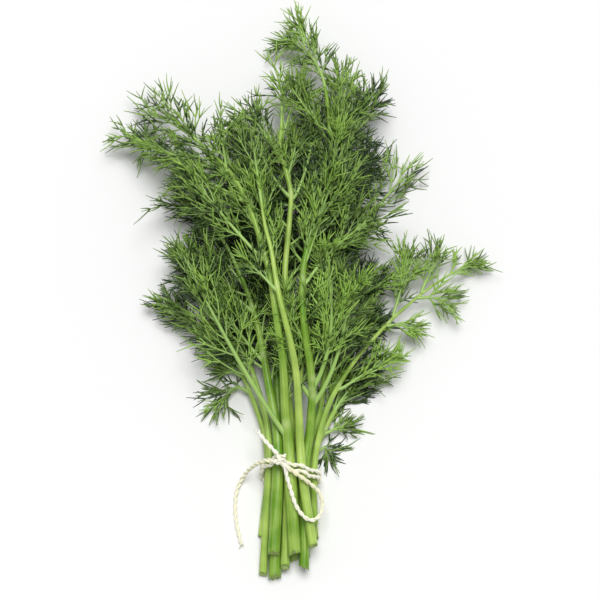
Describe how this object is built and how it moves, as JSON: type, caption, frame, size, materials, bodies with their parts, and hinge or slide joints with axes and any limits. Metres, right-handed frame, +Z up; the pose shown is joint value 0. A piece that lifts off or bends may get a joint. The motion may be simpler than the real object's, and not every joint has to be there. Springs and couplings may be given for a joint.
{
  "type": "dill bunch",
  "caption": "Bunch of fresh dill lying flat: cut stalks held by cream twine with a knot, a loop and two tails, fanning out into feathery green leaves.",
  "frame": {"origin": "middle of the bunch on the surface it lies on", "axes": "+Y from the cut ends along the stalks to the leaf tips, +X to the right seen from above, +Z up from the surface"},
  "size_m": [0.2071, 0.2967, 0.0458],
  "materials": {
    "stalk": "fresh green stalk skin, finely ribbed, slightly waxy",
    "leaf": "fresh green feathery leaf, matt",
    "twine": "undyed twisted cotton twine"
  },
  "bodies": {
    "root": {"stalk_a": "stalk", "stalk_b": "stalk", "stalk_c": "stalk", "stalk_d": "stalk", "stalk_e": "stalk", "stalk_f": "stalk", "stalk_g": "stalk", "stalk_h": "stalk", "stalk_i": "stalk", "stalk_j": "stalk", "stalk_k": "stalk", "stalk_l": "stalk", "leaf_a1": "leaf", "leaf_a2": "leaf", "leaf_a3": "leaf", "leaf_b1": "leaf", "leaf_b2": "leaf", "leaf_b3": "leaf", "leaf_c1": "leaf", "leaf_c2": "leaf", "leaf_c3": "leaf", "leaf_d1": "leaf", "leaf_d2": "leaf", "leaf_d3": "leaf", "leaf_e1": "leaf", "leaf_e2": "leaf", "leaf_e3": "leaf", "leaf_f1": "leaf", "leaf_f2": "leaf", "leaf_f3": "leaf", "leaf_f4": "leaf", "leaf_f5": "leaf", "leaf_f6": "leaf", "leaf_g1": "leaf", "leaf_h1": "leaf", "leaf_h3": "leaf", "leaf_i1": "leaf", "leaf_i2": "leaf", "leaf_i3": "leaf", "leaf_i4": "leaf", "leaf_i5": "leaf", "leaf_i6": "leaf", "leaf_i7": "leaf", "leaf_j1": "leaf", "leaf_j2": "leaf", "leaf_j3": "leaf", "leaf_k1": "leaf", "leaf_k2": "leaf", "leaf_k3": "leaf", "leaf_k4": "leaf", "leaf_k5": "leaf", "leaf_k6": "leaf", "leaf_l1": "leaf", "leaf_l2": "leaf", "leaf_l3": "leaf", "twine_wrap": "twine", "twine_knot": "twine", "twine_loop": "twine", "twine_long_tail": "twine", "twine_short_tail": "twine"}
  },
  "joints": []
}
